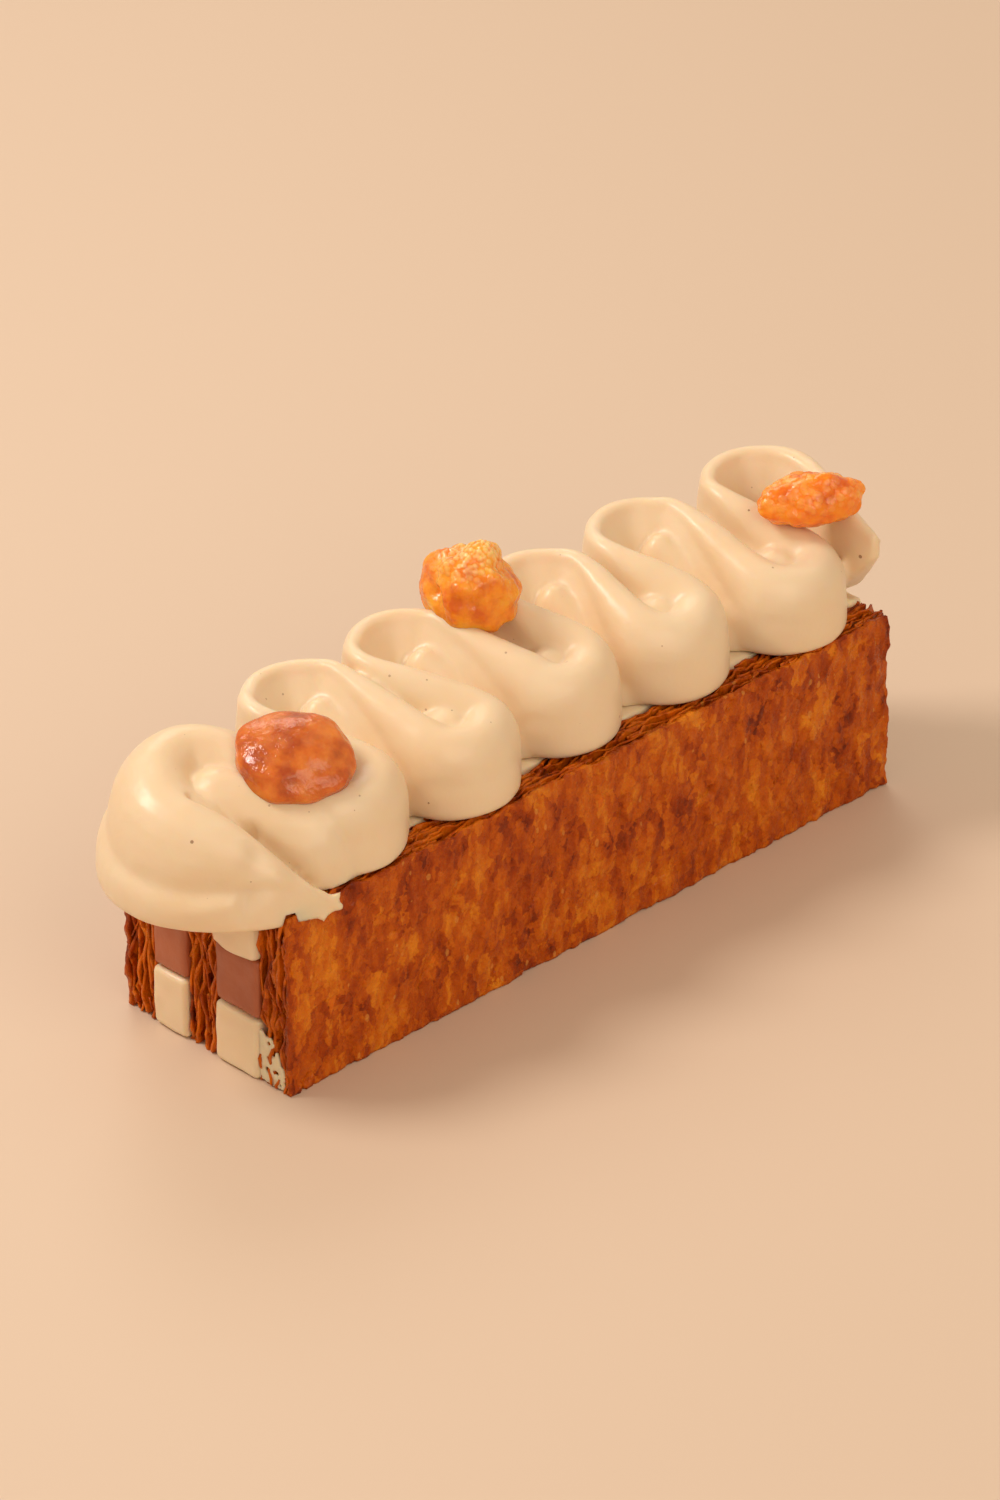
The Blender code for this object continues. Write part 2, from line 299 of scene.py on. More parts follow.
def crustMaterial(look):
    material, tree, shader = newMaterial("caramelised pastry")
    patches = clouds(tree, 6.5, 4.0, 0.6, stretch=(1, 1, 1.7))
    streaks = clouds(tree, 2.6, 3.0, 0.6, stretch=(1, 1, 2.4), shift=(3, 1, 2))
    grain = clouds(tree, 0.9, 2.0, 0.6, shift=(7, 5, 1))
    plate = flakes(tree, 3.0, 2.0, (2, 9, 4), 2.2, 1.1)
    chip = flakes(tree, 1.3, 1.8, (8, 3, 1), 1.1, 0.9)
    depth = weighted(tree, (patches, 0.44), (streaks, 0.264), (grain, 0.096), (plate, 0.13), (chip, 0.11))
    depth = math2(tree, "SUBTRACT", depth, 0.02)
    outer = ramp(tree, depth, (
        (0.33, look["dark"]),
        (0.41, look["middle"]),
        (0.52, look["amber"]),
        (0.66, look["light"]),
    ))
    inner = ramp(tree, depth, (
        (0.36, look["darkest"]),
        (0.42, look["middle"]),
        (0.50, look["amber"]),
        (0.60, look["edge"]),
    ))
    isOuter = tree.nodes.new("ShaderNodeAttribute")
    isOuter.attribute_name = "crust"
    tone = blend(tree, isOuter.outputs["Fac"], inner, outer)
    flecks = specks(tree, 1.8, 0.42, 0.30, (4.0, 2.0, 6.0), (1, 1, 1.7))
    tone = blend(tree, math2(tree, "MULTIPLY", flecks, 0.40), tone, look["fleck"])
    tree.links.new(tone, shader.inputs["Base Color"])
    gloss = ramp(tree, clouds(tree, 2.2, 3.0, 0.6, shift=(1, 8, 3)), ((0.38, 0.14), (0.62, 0.42)))
    tree.links.new(gloss, shader.inputs["Roughness"])
    shader.inputs["Specular IOR Level"].default_value = 0.18
    shader.inputs["Subsurface Weight"].default_value = 0.20
    shader.inputs["Subsurface Radius"].default_value = (1.0, 0.3, 0.05)
    shader.inputs["Subsurface Scale"].default_value = 0.8 * mm
    low = bump(tree, streaks, 0.8)
    low = bump(tree, plate, 0.22, low)
    low = bump(tree, chip, 0.14, low)
    tree.links.new(bump(tree, grain, 0.22, low), shader.inputs["Normal"])
    return material


def fruitMaterial(name, look):
    material, tree, shader = newMaterial(name)
    stops = ((0.32, look["deep"]), (0.5, look["colour"]), (0.68, look["light"]))
    tone = ramp(tree, clouds(tree, 4.0, 3.0), stops)
    grain = tree.nodes.new("ShaderNodeAttribute")
    grain.attribute_name = "grain"
    tone = blend(tree, math2(tree, "MULTIPLY", grain.outputs["Fac"], look["froth"]), tone, look["pale"])
    tree.links.new(tone, shader.inputs["Base Color"])
    shader.inputs["Roughness"].default_value = 0.16
    shader.inputs["Subsurface Weight"].default_value = 0.7
    shader.inputs["Subsurface Radius"].default_value = (1.0, 0.30, 0.05)
    shader.inputs["Subsurface Scale"].default_value = 2.6 * mm
    shader.inputs["Specular IOR Level"].default_value = 0.45
    shader.inputs["Coat Weight"].default_value = 0.25
    shader.inputs["Coat Roughness"].default_value = 0.05
    tree.links.new(bump(tree, clouds(tree, 1.1, 3.0), 0.22), shader.inputs["Normal"])
    return material


cream = creamMaterial("piped vanilla cream", creamLook, 0.16)
fillingCream = creamMaterial("vanilla filling", creamLook, 0.05)
praline = pralineMaterial(pralineLook)
crust = crustMaterial(crustLook)
print("materials made")

# The three sheets of pastry. Each is a stack of thin baked leaves, and the broad face that shows is a
# caramelised crust with folds, blisters and pits. Sizes in mm.
sheet = {
    "leaves": 7,
    "leafThick": 0.42,
    "wave": 1.2,
    "waveLong": 4.2,
    "ragged": 1.3,
    "raggedEnd": 1.5,
    "raggedFoot": 0.35,
    "columns": 190,
    "rows": 22,
    "crustThick": 0.9,
    "crustRaggedTop": 0.7,
    "crustRaggedEnd": 0.6,
    "crustColumns": 330,
    "crustRows": 82,
    "dimple": (85.7, 14.9),
    "dimpleSize": 1.2,
    "dimpleDeep": 1.0,
    "flakes": 110,
}
# the marks in the crust: how long they are along the sheet and up it, and how far they stand out
relief = {
    "bend": (6.0, 6.0, 1.2),
    "swell": (12.0, 15.0, 0.25),
    "fold": (4.6, 13.0, 0.26),
    "ripple": (2.4, 4.0, 0.16),
    "blister": (4.4, 6.5, 0.2),
    "pit": (0.8, 1.2, 0.16),
}
# how narrow the folds are and how wide the blisters are in their cells, then the greatest step between two
# plates of crust and how far the whole crust lies back, in mm
foldSharpness = 2.6
blisterReach = 0.52
plateStep = 0.55
crustSink = 0.4
# the loose flakes: how far in from the sheet's sides they lie, and their least and greatest sizes
flake = {
    "fromSides": 0.7,
    "fromEnd": 1.0,
    "fromCorner": 1.5,
    "underTop": 0.75,
    "endEvery": 4,
    "endLong": (0.8, 1.4),
    "endTall": (1.5, 3.6),
    "topLong": (1.5, 4.5),
    "topTall": (0.7, 1.3),
    "thick": 0.22,
    "lean": 0.5,
    "turn": 0.25,
    "curl": 0.8,
    "tone": 0.25,
}


def raggedness(place, seed):
    # from 0 to 1, in steps like broken flakes
    soft = noise.noise(Vector((place / 5.5, seed * 3.1, 0)))
    soft += 0.6 * noise.noise(Vector((place / 1.7, seed, 4)))
    chipped = math.floor(2.6 * noise.noise(Vector((place / 2.3, 9, seed * 1.7)))) / 2.6
    return min(1.0, max(0.0, 0.42 + 0.55 * soft + 0.35 * chipped))


def mark(kind, x, z, seed, bendX=0.0, bendZ=0.0):
    # how strong one kind of mark is at a place along and up the sheet, from -1 to 1
    long, tall, _ = relief[kind]
    return noise.noise(Vector((x / long + bendX, z / tall + bendZ, seed)))


def crustRelief(x, z, seed):
    # how far the crust stands out, in mm, at a place along and up the sheet
    bend = relief["bend"][2] * mark("bend", x, z, seed)
    out = relief["swell"][2] * mark("swell", x, z, seed + 2)
    fold = 1 - foldSharpness * abs(mark("fold", x, z, seed + 5, bendX=bend))
    out += relief["fold"][2] * max(-0.6, fold)
    out += relief["ripple"][2] * mark("ripple", x, z, seed + 8, bendZ=bend)
    out += relief["pit"][2] * mark("pit", x, z, seed + 11)
    long, tall, stands = relief["blister"]
    near, middles = noise.voronoi(Vector((x / long + 0.4 * bend, z / tall, seed)))
    out += stands * math.sqrt(max(0.0, 1 - (near[0] / blisterReach) ** 2))
    return out + plateStep * noise.noise(middles[0] * 5.3) - crustSink


def raggedPlace(low, high, u, w, seed, endShare, topShare):
    # along and up in mm, for shares u and w of the sheet's length and height, with ragged edges
    along = u * (high.x - low.x)
    up = w * (high.z - low.z)
    nearIn = sheet["raggedEnd"] * endShare * raggedness(up, seed + 20)
    farIn = sheet["raggedEnd"] * endShare * raggedness(up, seed + 40)
    topIn = sheet["ragged"] * topShare * raggedness(along, seed + 60)
    footIn = sheet["raggedFoot"] * raggedness(along, seed + 80)
    return mix(low.x + nearIn, high.x - farIn, u), mix(low.z + footIn, high.z - topIn, w)


def thinSlab(bm, columns, rows):
    # a flat slab of one unit across, with the vertices of its two sides apart
    front = bmesh.ops.create_grid(bm, x_segments=columns, y_segments=rows, size=0.5)["verts"]
    faces = list({face for v in front for face in v.link_faces})
    grown = bmesh.ops.extrude_face_region(bm, geom=faces)["geom"]
    behind = [v for v in grown if isinstance(v, bmesh.types.BMVert)]
    return ((-1, front), (1, behind))


def addLeaf(bm, low, high, middle, seed, marks):
    # a thin wavy leaf between two corners in mm
    length = high.x - low.x
    height = high.z - low.z
    for side, verts in thinSlab(bm, sheet["columns"], sheet["rows"]):
        for v in verts:
            u = v.co.x + 0.5
            w = v.co.y + 0.5
            u = mix(u, 0.5 - 0.5 * math.cos(math.pi * u), 0.5)
            w = 0.5 - 0.5 * math.cos(math.pi * w)
            along = u * length
            up = w * height
            x, z = raggedPlace(low, high, u, w, seed, 1.0, 1.0)
            place = Vector((along / sheet["waveLong"], middle * 2, up / sheet["waveLong"] * 0.8 + seed))
            thick = side * sheet["leafThick"] * 0.5 * (1 + 0.5 * noise.noise(place * 1.9))
            wave = sheet["wave"] * (noise.noise(place) + 0.5 * noise.noise(place * 2.7))
            v.co = Vector((x, middle + thick + wave, z)) * mm
            v[marks] = 0.0


def addCrust(bm, low, high, outward, seed, marks):
    # the caramelised face of a sheet. outward is -1 or 1 for a crust that faces that way.
    thick = sheet["crustThick"]
    middle = (low.y if outward < 0 else high.y) - outward * thick * 0.6
    for side, verts in thinSlab(bm, sheet["crustColumns"], sheet["crustRows"]):
        for v in verts:
            u = v.co.x + 0.5
            w = v.co.y + 0.5
            u = mix(u, 0.5 - 0.5 * math.cos(math.pi * u), 0.5)
            along = u * (high.x - low.x)
            up = w * (high.z - low.z)
            x, z = raggedPlace(low, high, u, w, seed, sheet["crustRaggedEnd"], sheet["crustRaggedTop"])
            if side == outward:
                y = middle + side * (thick * 0.5 + crustRelief(along, up, seed))
                if outward < 0:
                    away = (Vector((along, up)) - Vector(sheet["dimple"])).length / sheet["dimpleSize"]
                    y -= side * sheet["dimpleDeep"] * math.exp(-(away**4))
            else:
                place = Vector((along / sheet["waveLong"], middle * 2, up / sheet["waveLong"] * 0.8 + seed))
                y = middle + side * thick * 0.5 * (1 + 0.5 * noise.noise(place * 1.9))
            v.co = Vector((x, y, z)) * mm
            v[marks] = 1.0


def addFlake(bm, low, high, atEnd, rng, marks):
    # a small curled flake on the top edge or a cut end
    slab = thinSlab(bm, 4, 2)
    across = rng.uniform(low.y + flake["fromSides"], high.y - flake["fromSides"])
    corner = flake["fromCorner"]
    if atEnd:
        end = rng.choice((low.x + flake["fromEnd"], high.x - flake["fromEnd"]))
        at = Vector((end, across, rng.uniform(low.z + corner, high.z - corner)))
        size = Vector((rng.uniform(*flake["endLong"]), flake["thick"], rng.uniform(*flake["endTall"])))
    else:
        at = Vector((rng.uniform(low.x + corner, high.x - corner), across, high.z - flake["underTop"]))
        size = Vector((rng.uniform(*flake["topLong"]), flake["thick"], rng.uniform(*flake["topTall"])))
    lean = Matrix.Rotation(rng.uniform(-flake["lean"], flake["lean"]), 4, "X")
    turn = Matrix.Rotation(rng.uniform(-flake["turn"], flake["turn"]), 4, "Z")
    curl = rng.uniform(-flake["curl"], flake["curl"])
    for side, verts in slab:
        for v in verts:
            bend = curl * (v.co.x**2 - 0.1) + 0.3 * curl * v.co.y
            spot = Vector((v.co.x * size.x, side * size.y / 2 + bend, v.co.y * size.z))
            v.co = (at + lean @ turn @ spot) * mm
            v[marks] = flake["tone"]


def sheetPiece(kind, node, build):
    # one piece of a sheet, with a mark on every vertex for how much it belongs to the outer crust
    bm = bmesh.new()
    build(bm, bm.verts.layers.float.new("crust"))
    bmesh.ops.recalc_face_normals(bm, faces=bm.faces)
    addPiece(node.replace("pastry", kind), bm, crust, node)


def pastrySheet(node, outward, seed):
    low, high = (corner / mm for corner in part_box(node))
    low.x = block["nearEnd"]
    high.x = block["nearEnd"] + block["length"]
    pitch = (high.y - low.y) / sheet["leaves"]
    crustLeaf = {-1: 0, 0: None, 1: sheet["leaves"] - 1}[outward]

    def leaves(bm, marks):
        for k in range(sheet["leaves"]):
            if k != crustLeaf:
                addLeaf(bm, low, high, low.y + (k + 0.5) * pitch, seed + k, marks)

    def looseFlakes(bm, marks):
        rng = random.Random(seed)
        for n in range(sheet["flakes"]):
            addFlake(bm, low, high, n % flake["endEvery"] == 0, rng, marks)

    def outerFace(bm, marks):
        addCrust(bm, low, high, outward, seed + 9, marks)

    sheetPiece("leaves", node, leaves)
    sheetPiece("flakes", node, looseFlakes)
    if outward:
        sheetPiece("crust", node, outerFace)


pastrySheet("pastry_front", -1, 3)
pastrySheet("pastry_middle", 0, 23)
pastrySheet("pastry_back", 1, 43)
print("pastry sheets laid")

# The fillings: three bands in each gap, squeezed against the sheets and slightly uneven where they were
# cut. At the near end each stands proud by a little, in mm.
filling = {
    "voxel": 0.5,
    "smoothRounds": 2,
    "rounding": 0.5,
    "uneven": 0.22,
    "overlap": 0.35,
    "proudFrom": 0.3,
    "proudTo": 2.5,
    "proudWidth": 1.6,
}


def fillingBand(node, material, proud):
    low, high = (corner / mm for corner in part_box(node))
    low.y -= filling["overlap"]
    high.y += filling["overlap"]
    size = high - low
    centre = (low + high) / 2
    bm = bmesh.new()
    bmesh.ops.create_cube(bm, size=1.0)
    put = Matrix.Translation(centre * mm) @ Matrix.Diagonal((*(size * mm), 1.0))
    bmesh.ops.transform(bm, matrix=put, verts=bm.verts)
    edges = {"geom": bm.edges[:], "affect": "EDGES", "material": -1}
    bmesh.ops.bevel(bm, offset=filling["rounding"] * mm, segments=3, profile=0.5, **edges)
    piece = addPiece("band_" + node, bm, material, node)
    nearEnd = -block["nearEnd"]
    for v in fuse(piece, filling["voxel"], filling["smoothRounds"]).vertices:
        place = v.co / mm
        rough = noise.noise(place / 3.7 + Vector((5, 0, 0)))
        out = Vector((noise.noise(place / 3.1), 0.0, rough)) * filling["uneven"]
        nearness = smoothStep(-place.x, nearEnd - filling["proudTo"], nearEnd - filling["proudFrom"])
        swell = 1 - ((place.y - centre.y) / size.y * filling["proudWidth"]) ** 2
        out.x -= proud * nearness * max(0.0, swell)
        v.co = (place + out) * mm
        v.co.z = max(v.co.z, 0.0)


for gap, upperProud in (("front", 1.1), ("back", 0.3)):
    fillingBand("cream_lower_" + gap, fillingCream, 0.2)
    fillingBand("praline_" + gap, praline, 0.0)
    fillingBand("cream_upper_" + gap, fillingCream, upperProud)
print("fillings spread")

# A net of cream that is smeared over the foot of the front sheet's cut end. It is made of small blobs
# along the edges of a broken pattern: across and up, in mm.
smear = {
    "across": (1.6, 7.2),
    "up": (0.5, 8.6),
    "slant": 0.55,
    "slantFrom": 3.0,
    "cell": 1.5,
    "strand": 0.30,
    "fuller": 1.4,
    "step": 0.26,
    "jitter": 0.1,
    "thick": 0.34,
    "thickRange": (0.8, 1.2),
    "depth": 0.55,
    "voxel": 0.2,
    "seed": 5,
}


def creamSmear():
    rng = random.Random(smear["seed"])
    bm = bmesh.new()
    left, right = smear["across"]
    foot, top = smear["up"]
    jitter = smear["jitter"]
    for row in range(int((top - foot) / smear["step"])):
        for column in range(int((right - left) / smear["step"])):
            across = left + column * smear["step"]
            up = foot + row * smear["step"]
            shake = Vector((rng.uniform(-jitter, jitter), rng.uniform(-jitter, jitter), 0))
            place = Vector((across, up, 0)) + shake
            near, _ = noise.voronoi(place / smear["cell"])
            share = (up - foot) / (top - foot)
            isStrand = near[1] - near[0] < smear["strand"] * (smear["fuller"] - share)
            isInside = across > left + smear["slant"] * max(0.0, up - smear["slantFrom"])
            if isStrand and isInside:
                put = Matrix.Translation(inBlock(smear["depth"], place.x, place.y - block["height"]))
                put = put @ Matrix.Scale(smear["thick"] * rng.uniform(*smear["thickRange"]) * mm, 4)
                bmesh.ops.create_icosphere(bm, subdivisions=1, radius=1.0, matrix=put)
    piece = addPiece("cream_smear", bm, fillingCream, "cream_lower_front")
    fuse(piece, smear["voxel"], 2)


creamSmear()

# The ribbon of piped cream: a section that is lofted round every turn. In front it is low and full, and
# at the back tall with a thin rim. Sizes in mm.
ribbon = {
    "footHalf": 5.3,
    "rimFront": 4.8,
    "rimBack": 1.4,
    "offsetFront": 0.1,
    "offsetBack": 3.0,
    "fullFront": 3.6,
    "fullBack": 1.8,
    "heightFront": 12.2,
    "heightBack": 17.3,
    "riseFrom": 3.0,
    "riseTo": 23.0,
    "thinFrom": 10.0,
    "thinTo": 26.0,
    "roundFront": 1.45,
    "roundBack": 0.85,
    "frontTurns": ((19.0, 10.4), (41.4, 10.4), (64.3, 12.4), (86.6, 12.0), (110.0, 10.0)),
    "backTurns": ((26.0, 23.4), (47.0, 23.6), (73.8, 22.6), (96.0, 23.2), (120.0, 22.6)),
    "turnRadius": 5.3,
    "turnSteps": 4,
    "stepsBetween": 6,
    "voxel": 0.46,
    "smoothRounds": 7,
    "uneven": 0.14,
}
# along, across, foot, rim, height, drop, offset, full: the thin tail on the front edge and the fat curl
ribbonStart = (
    (9.4, -1.0, 0.45, 0.3, -0.5, 1.7, 0.0, 3.0),
    (7.2, 0.3, 1.3, 0.9, 1.5, 2.2, 0.0, 3.0),
    (4.2, 2.4, 2.9, 2.0, 4.4, 2.2, 0.0, 3.0),
    (0.2, 6.4, 5.5, 3.9, 9.6, 2.2, 0.0, 3.0),
    (-3.4, 13.2, 8.4, 6.8, 13.6, 2.2, 0.0, 4.0),
    (-4.6, 20.0, 9.1, 7.5, 15.6, 2.0, 0.0, 4.0),
    (-1.4, 25.6, 8.3, 6.7, 17.0, 0.6, 0.0, 4.0),
    (4.6, 26.8, 7.2, 5.8, 17.6, 0.0, -0.4, 4.0),
    (9.0, 23.8, 6.6, 5.6, 17.0, 0.0, 0.0, 4.0),
    (11.0, 17.6, 6.0, 5.4, 15.6, 0.0, 0.0, 5.0),
)
# the tail that is torn off along the far end
ribbonEnd = (
    (125.2, 15.6, 4.0, 1.4, 16.4, 0.0, -1.2, 2.0),
    (124.6, 10.2, 3.2, 1.4, 15.2, 0.0, 0.0, 2.0),
    (124.0, 6.2, 2.2, 1.2, 13.8, -4.0, 0.0, 2.0),
    (123.8, 2.6, 0.9, 0.5, 12.6, -8.8, 0.0, 2.0),
)
# how far the ribbon's foot is tucked in, as shares of the shoulder's height and of the foot's half width
footTuck = ((0.0, 0.84), (0.04, 0.91), (0.08, 0.96))
# and where the points of its sides and rim lie
sideShares = [0.16 + 0.84 * k / 12 for k in range(13)]
rimSteps = 6


def turnStations():
    stations = []
    turns = [turn for pair in zip(ribbon["frontTurns"], ribbon["backTurns"]) for turn in pair]
    for k, (along, across) in enumerate(turns):
        side = -1 if k % 2 == 0 else 1
        for n in range(ribbon["turnSteps"] + 1):
            angle = math.pi * n / ribbon["turnSteps"]
            x = along - ribbon["turnRadius"] * math.cos(angle)
            y = across + side * ribbon["turnRadius"] * math.sin(angle)
            rise = smoothStep(y, ribbon["riseFrom"], ribbon["riseTo"])
            height = mix(ribbon["heightFront"], ribbon["heightBack"], rise)
            thin = smoothStep(y, ribbon["thinFrom"], ribbon["thinTo"])
            rim = mix(ribbon["rimFront"], ribbon["rimBack"], thin)
            full = mix(ribbon["fullFront"], ribbon["fullBack"], rise)
            offset = -side * (ribbon["offsetFront"] if side < 0 else ribbon["offsetBack"])
            stations.append((x, y, ribbon["footHalf"], rim, height, 0.0, offset, full))
    return stations


def smoothThrough(stations, steps):
    # a Catmull-Rom curve through the stations
    rows = [Vector(row) for row in stations]
    rows = [rows[0] * 2 - rows[1], *rows, rows[-1] * 2 - rows[-2]]
    line = []
    for a, b, c, d in zip(rows, rows[1:], rows[2:], rows[3:]):
        for k in range(steps):
            t = k / steps
            square = (2 * a - 5 * b + 4 * c - d) * t**2
            cube = (3 * (b - c) + d - a) * t**3
            line.append((2 * b + (c - a) * t + square + cube) / 2)
    line.append(rows[-2])
    return line


def ribbonSection(foot, rim, height, offset, full):
    # sideways and up, from the right foot over the rim to the left one
    thick = smoothStep(rim, ribbon["rimBack"], ribbon["rimFront"])
    roundness = mix(ribbon["roundBack"], ribbon["roundFront"], thick)
    shoulder = max(height * 0.3, height - roundness * rim)
    outline = []
    for side in (1, -1):
        flank = [(side * foot * tuck, shoulder * share) for share, tuck in footTuck]
        for share in sideShares:
            drawn = share**full
            flank.append((side * foot * (1 - drawn) + (offset + side * rim) * drawn, shoulder * share))
        for k in range(1, rimSteps + 1):
            turn = math.pi / 2 * k / (rimSteps + 0.5)
            up = shoulder + (height - shoulder) * math.sin(turn)
            flank.append((offset + side * rim * math.cos(turn), up))
        outline += flank if side > 0 else reversed(flank)
    return outline


# Cream that fills the hollows of the ribbon, as half sizes and places in mm: in the middle of each front
# turn, some way behind its centre
dome = {"half": (7.2, 6.6, 12.4), "behind": 0.6}
# beside the turn's right strand
plug = {"half": (4.6, 5.6, 13.2), "right": 3.6, "behind": 3.4}
# along the left side of the strands that run back from a front turn, and of those that run forward to the
# next one: how far to the left, from where to where across, and the rise between
slopes = (
    {"half": (5.6, 5.0, 10.2), "left": 2.4, "from": 9.0, "to": 24.0, "rise": 4.6, "steps": 14},
    {"half": (4.8, 4.4, 5.5), "left": 2.5, "from": 12.0, "to": 24.0, "rise": 8.6, "steps": 14},
)
# from the curl to the first front turn
curlFill = {"half": (8.0, 8.4, 14.8), "from": (4.0, 18.6), "to": (12.4, 9.4), "rise": -2.4, "steps": 12}
# and the ragged tips: the tail's on the front edge, then those of the torn far end
tornTips = (
    ((9.3, -0.9, -1.6), (0.9, 0.5, 0.8)),
    ((8.9, -0.4, 0.2), (1.5, 0.6, 0.4)),
    ((6.4, -0.7, -2.2), (0.8, 0.4, 0.7)),
    ((124.6, 4.6, 10.4), (2.2, 1.3, 0.8)),
    ((120.9, 7.2, 3.4), (0.9, 0.9, 4.6)),
    ((121.5, 5.6, 0.7), (1.5, 0.8, 0.8)),
)
# how deep the fillings stand in the block, and how near its edges the ribbon is kept above it
fillFoot = 0.5
edgeMargin = 0.3
# folds in the cream: from and to as along and across, the width, and how far the skin is pushed out
folds = (
    ((-2.4, 16.4), (2.6, 9.6), 0.8, -1.1),
    ((2.6, 9.6), (6.9, 2.2), 0.9, -1.5),
    ((-12.0, 9.0), (-6.0, 4.6), 1.3, 0.6),
    ((-8.0, 3.0), (-1.0, 4.6), 1.6, -0.6),
)


def addTip(bm, place, half):
    put = Matrix.Translation(inBlock(*place)) @ Matrix.Diagonal((*(Vector(half) * mm), 1.0))
    return bmesh.ops.create_icosphere(bm, subdivisions=3, radius=1.0, matrix=put)["verts"]


def addFill(bm, along, across, half):
    # it stands on the block, and nothing of it hangs below
    for v in addTip(bm, (along, across, 0.0), half):
        v.co.z = max(v.co.z, (block["height"] - fillFoot) * mm)


def addFillRow(bm, start, end, fill):
    wide, deep, tall = fill["half"]
    for k in range(fill["steps"]):
        t = k / (fill["steps"] - 1)
        place = Vector(start).lerp(Vector(end), t)
        addFill(bm, place.x, place.y, (wide, deep, tall + fill["rise"] * t))


def strandPlaces(turns):
    # how far along the two strands of every turn lie
    reach = ribbon["turnRadius"]
    return [at for along, _ in turns for at in (along - reach, along + reach)]


def foldPush(place):
    # how far a fold pushes the skin at a place counted in the block
    push = 0.0
    for start, end, width, depth in folds:
        line = Vector(end) - Vector(start)
        share = min(1.0, max(0.0, (place - Vector(start)).dot(line) / line.length_squared))
        away = (place - Vector(start) - line * share).length
        push += depth * math.exp(-((away / width) ** 2))
    return push


def loftRibbon(bm):
    stations = smoothThrough([*ribbonStart, *turnStations(), *ribbonEnd], ribbon["stepsBetween"])
    face = None
    for k, (along, across, foot, rim, height, drop, offset, full) in enumerate(stations):
        ahead = stations[min(k + 1, len(stations) - 1)] - stations[max(k - 1, 0)]
        right = Vector((ahead[1], -ahead[0], 0)).normalized()
        outline = ribbonSection(foot, rim, height + drop, offset, full)
        if face is None:
            first = [bm.verts.new() for _ in outline]
            face = bm.faces.new(first)
        else:
            face = bmesh.ops.extrude_discrete_faces(bm, faces=[face])["faces"][0]
        for v, (out, up) in zip(face.verts, outline):
            v.co = inBlock(along, across, up - drop) + right * out * mm
    bm.faces.new(first)


def fillHollows(bm):
    for along, across in ribbon["frontTurns"]:
        addFill(bm, along, across + dome["behind"], dome["half"])
        addFill(bm, along + plug["right"], across + plug["behind"], plug["half"])
    fronts = strandPlaces(ribbon["frontTurns"])
    backs = strandPlaces(ribbon["backTurns"])
    for n, (start, end) in enumerate(zip(fronts[1:], backs)):
        slope = slopes[n % 2]
        nearFront = (start - slope["left"], slope["from"])
        nearBack = (end - slope["left"], slope["to"])
        addFillRow(bm, nearFront, nearBack, slope)
    for place, half in tornTips:
        addTip(bm, place, half)
    addFillRow(bm, curlFill["from"], curlFill["to"], curlFill)


def softenSkin(mesh):
    # slight unevenness and the folds, without sinking into the block
    floor = block["height"] * mm
    near = block["nearEnd"] + edgeMargin
    front = block["front"] + edgeMargin
    back = block["back"] - edgeMargin
    normals = [v.normal.copy() for v in mesh.vertices]
    for v, normal in zip(mesh.vertices, normals):
        place = v.co / mm
        soft = noise.noise(place / 7) + 0.35 * noise.noise(place / 2.6)
        inPlan = Vector((place.x - block["nearEnd"], place.y - block["front"]))
        push = foldPush(inPlan) * smoothStep(normal.z, -0.2, 0.4)
        spot = v.co + normal * (ribbon["uneven"] * soft + push) * mm
        if place.x > near and front < place.y < back:
            spot.z = max(spot.z, floor)
        v.co = spot


def pipedRibbon():
    bm = bmesh.new()
    loftRibbon(bm)
    fillHollows(bm)
    bmesh.ops.recalc_face_normals(bm, faces=bm.faces)
    piece = addPiece("cream_ribbon", bm, cream, "piped_cream")
    softenSkin(fuse(piece, ribbon["voxel"], ribbon["smoothRounds"]))


pipedRibbon()
print("ribbon piped")

# The fruit: middle, half sizes, turn about Z and tilt back in degrees, how lumpy, faceted and grainy it is
# and how high its grains start. Sizes in mm.
fruits = {
    "fruit_near": {
        "at": (13.8, 12.8, 15.2),
        "half": (8.6, 7.8, 3.8),
        "turn": -41,
        "tilt": 24,
        "seed": 3,
        "facet": 0.12,
        "relief": 0.11,
        "grain": 0.03,
        "grainSize": 2.0,
        "grainsFrom": 0.9,
        "deep": (0.44, 0.07, 0.004),
        "colour": (0.64, 0.15, 0.010),
        "light": (0.76, 0.24, 0.03),
        "pale": (0.85, 0.55, 0.30),
        "froth": 0.1,
    },
    "fruit_middle": {
        "at": (60.4, 24.6, 20.2),
        "half": (7.0, 6.4, 6.6),
        "turn": -41,
        "tilt": 0,
        "seed": 7,
        "facet": 0.3,
        "relief": 0.26,
        "grain": 0.30,
        "grainSize": 0.8,
        "grainsFrom": 0.75,
        "deep": (0.72, 0.15, 0.004),
        "colour": (0.93, 0.31, 0.010),
        "light": (0.97, 0.43, 0.03),
        "pale": (1.0, 0.78, 0.40),
        "froth": 0.55,
    },
    "fruit_far": {
        "at": (118.1, 11.1, 17.7),
        "half": (8.0, 4.6, 4.2),
        "turn": -34,
        "tilt": 10,
        "seed": 11,
        "facet": 0.6,
        "relief": 0.20,
        "grain": 0.16,
        "grainSize": 1.2,
        "grainsFrom": 0.2,
        "deep": (0.72, 0.13, 0.002),
        "colour": (0.94, 0.26, 0.004),
        "light": (0.97, 0.36, 0.012),
        "pale": (1.0, 0.62, 0.22),
        "froth": 0.25,
    },
}
# how many bumps there are across a fruit, the size of its facets in mm and the reach of a grain in its cell
broadBumps = 1.1
fineBumps = 2.6
facetSize = 4.5
grainReach = 0.62


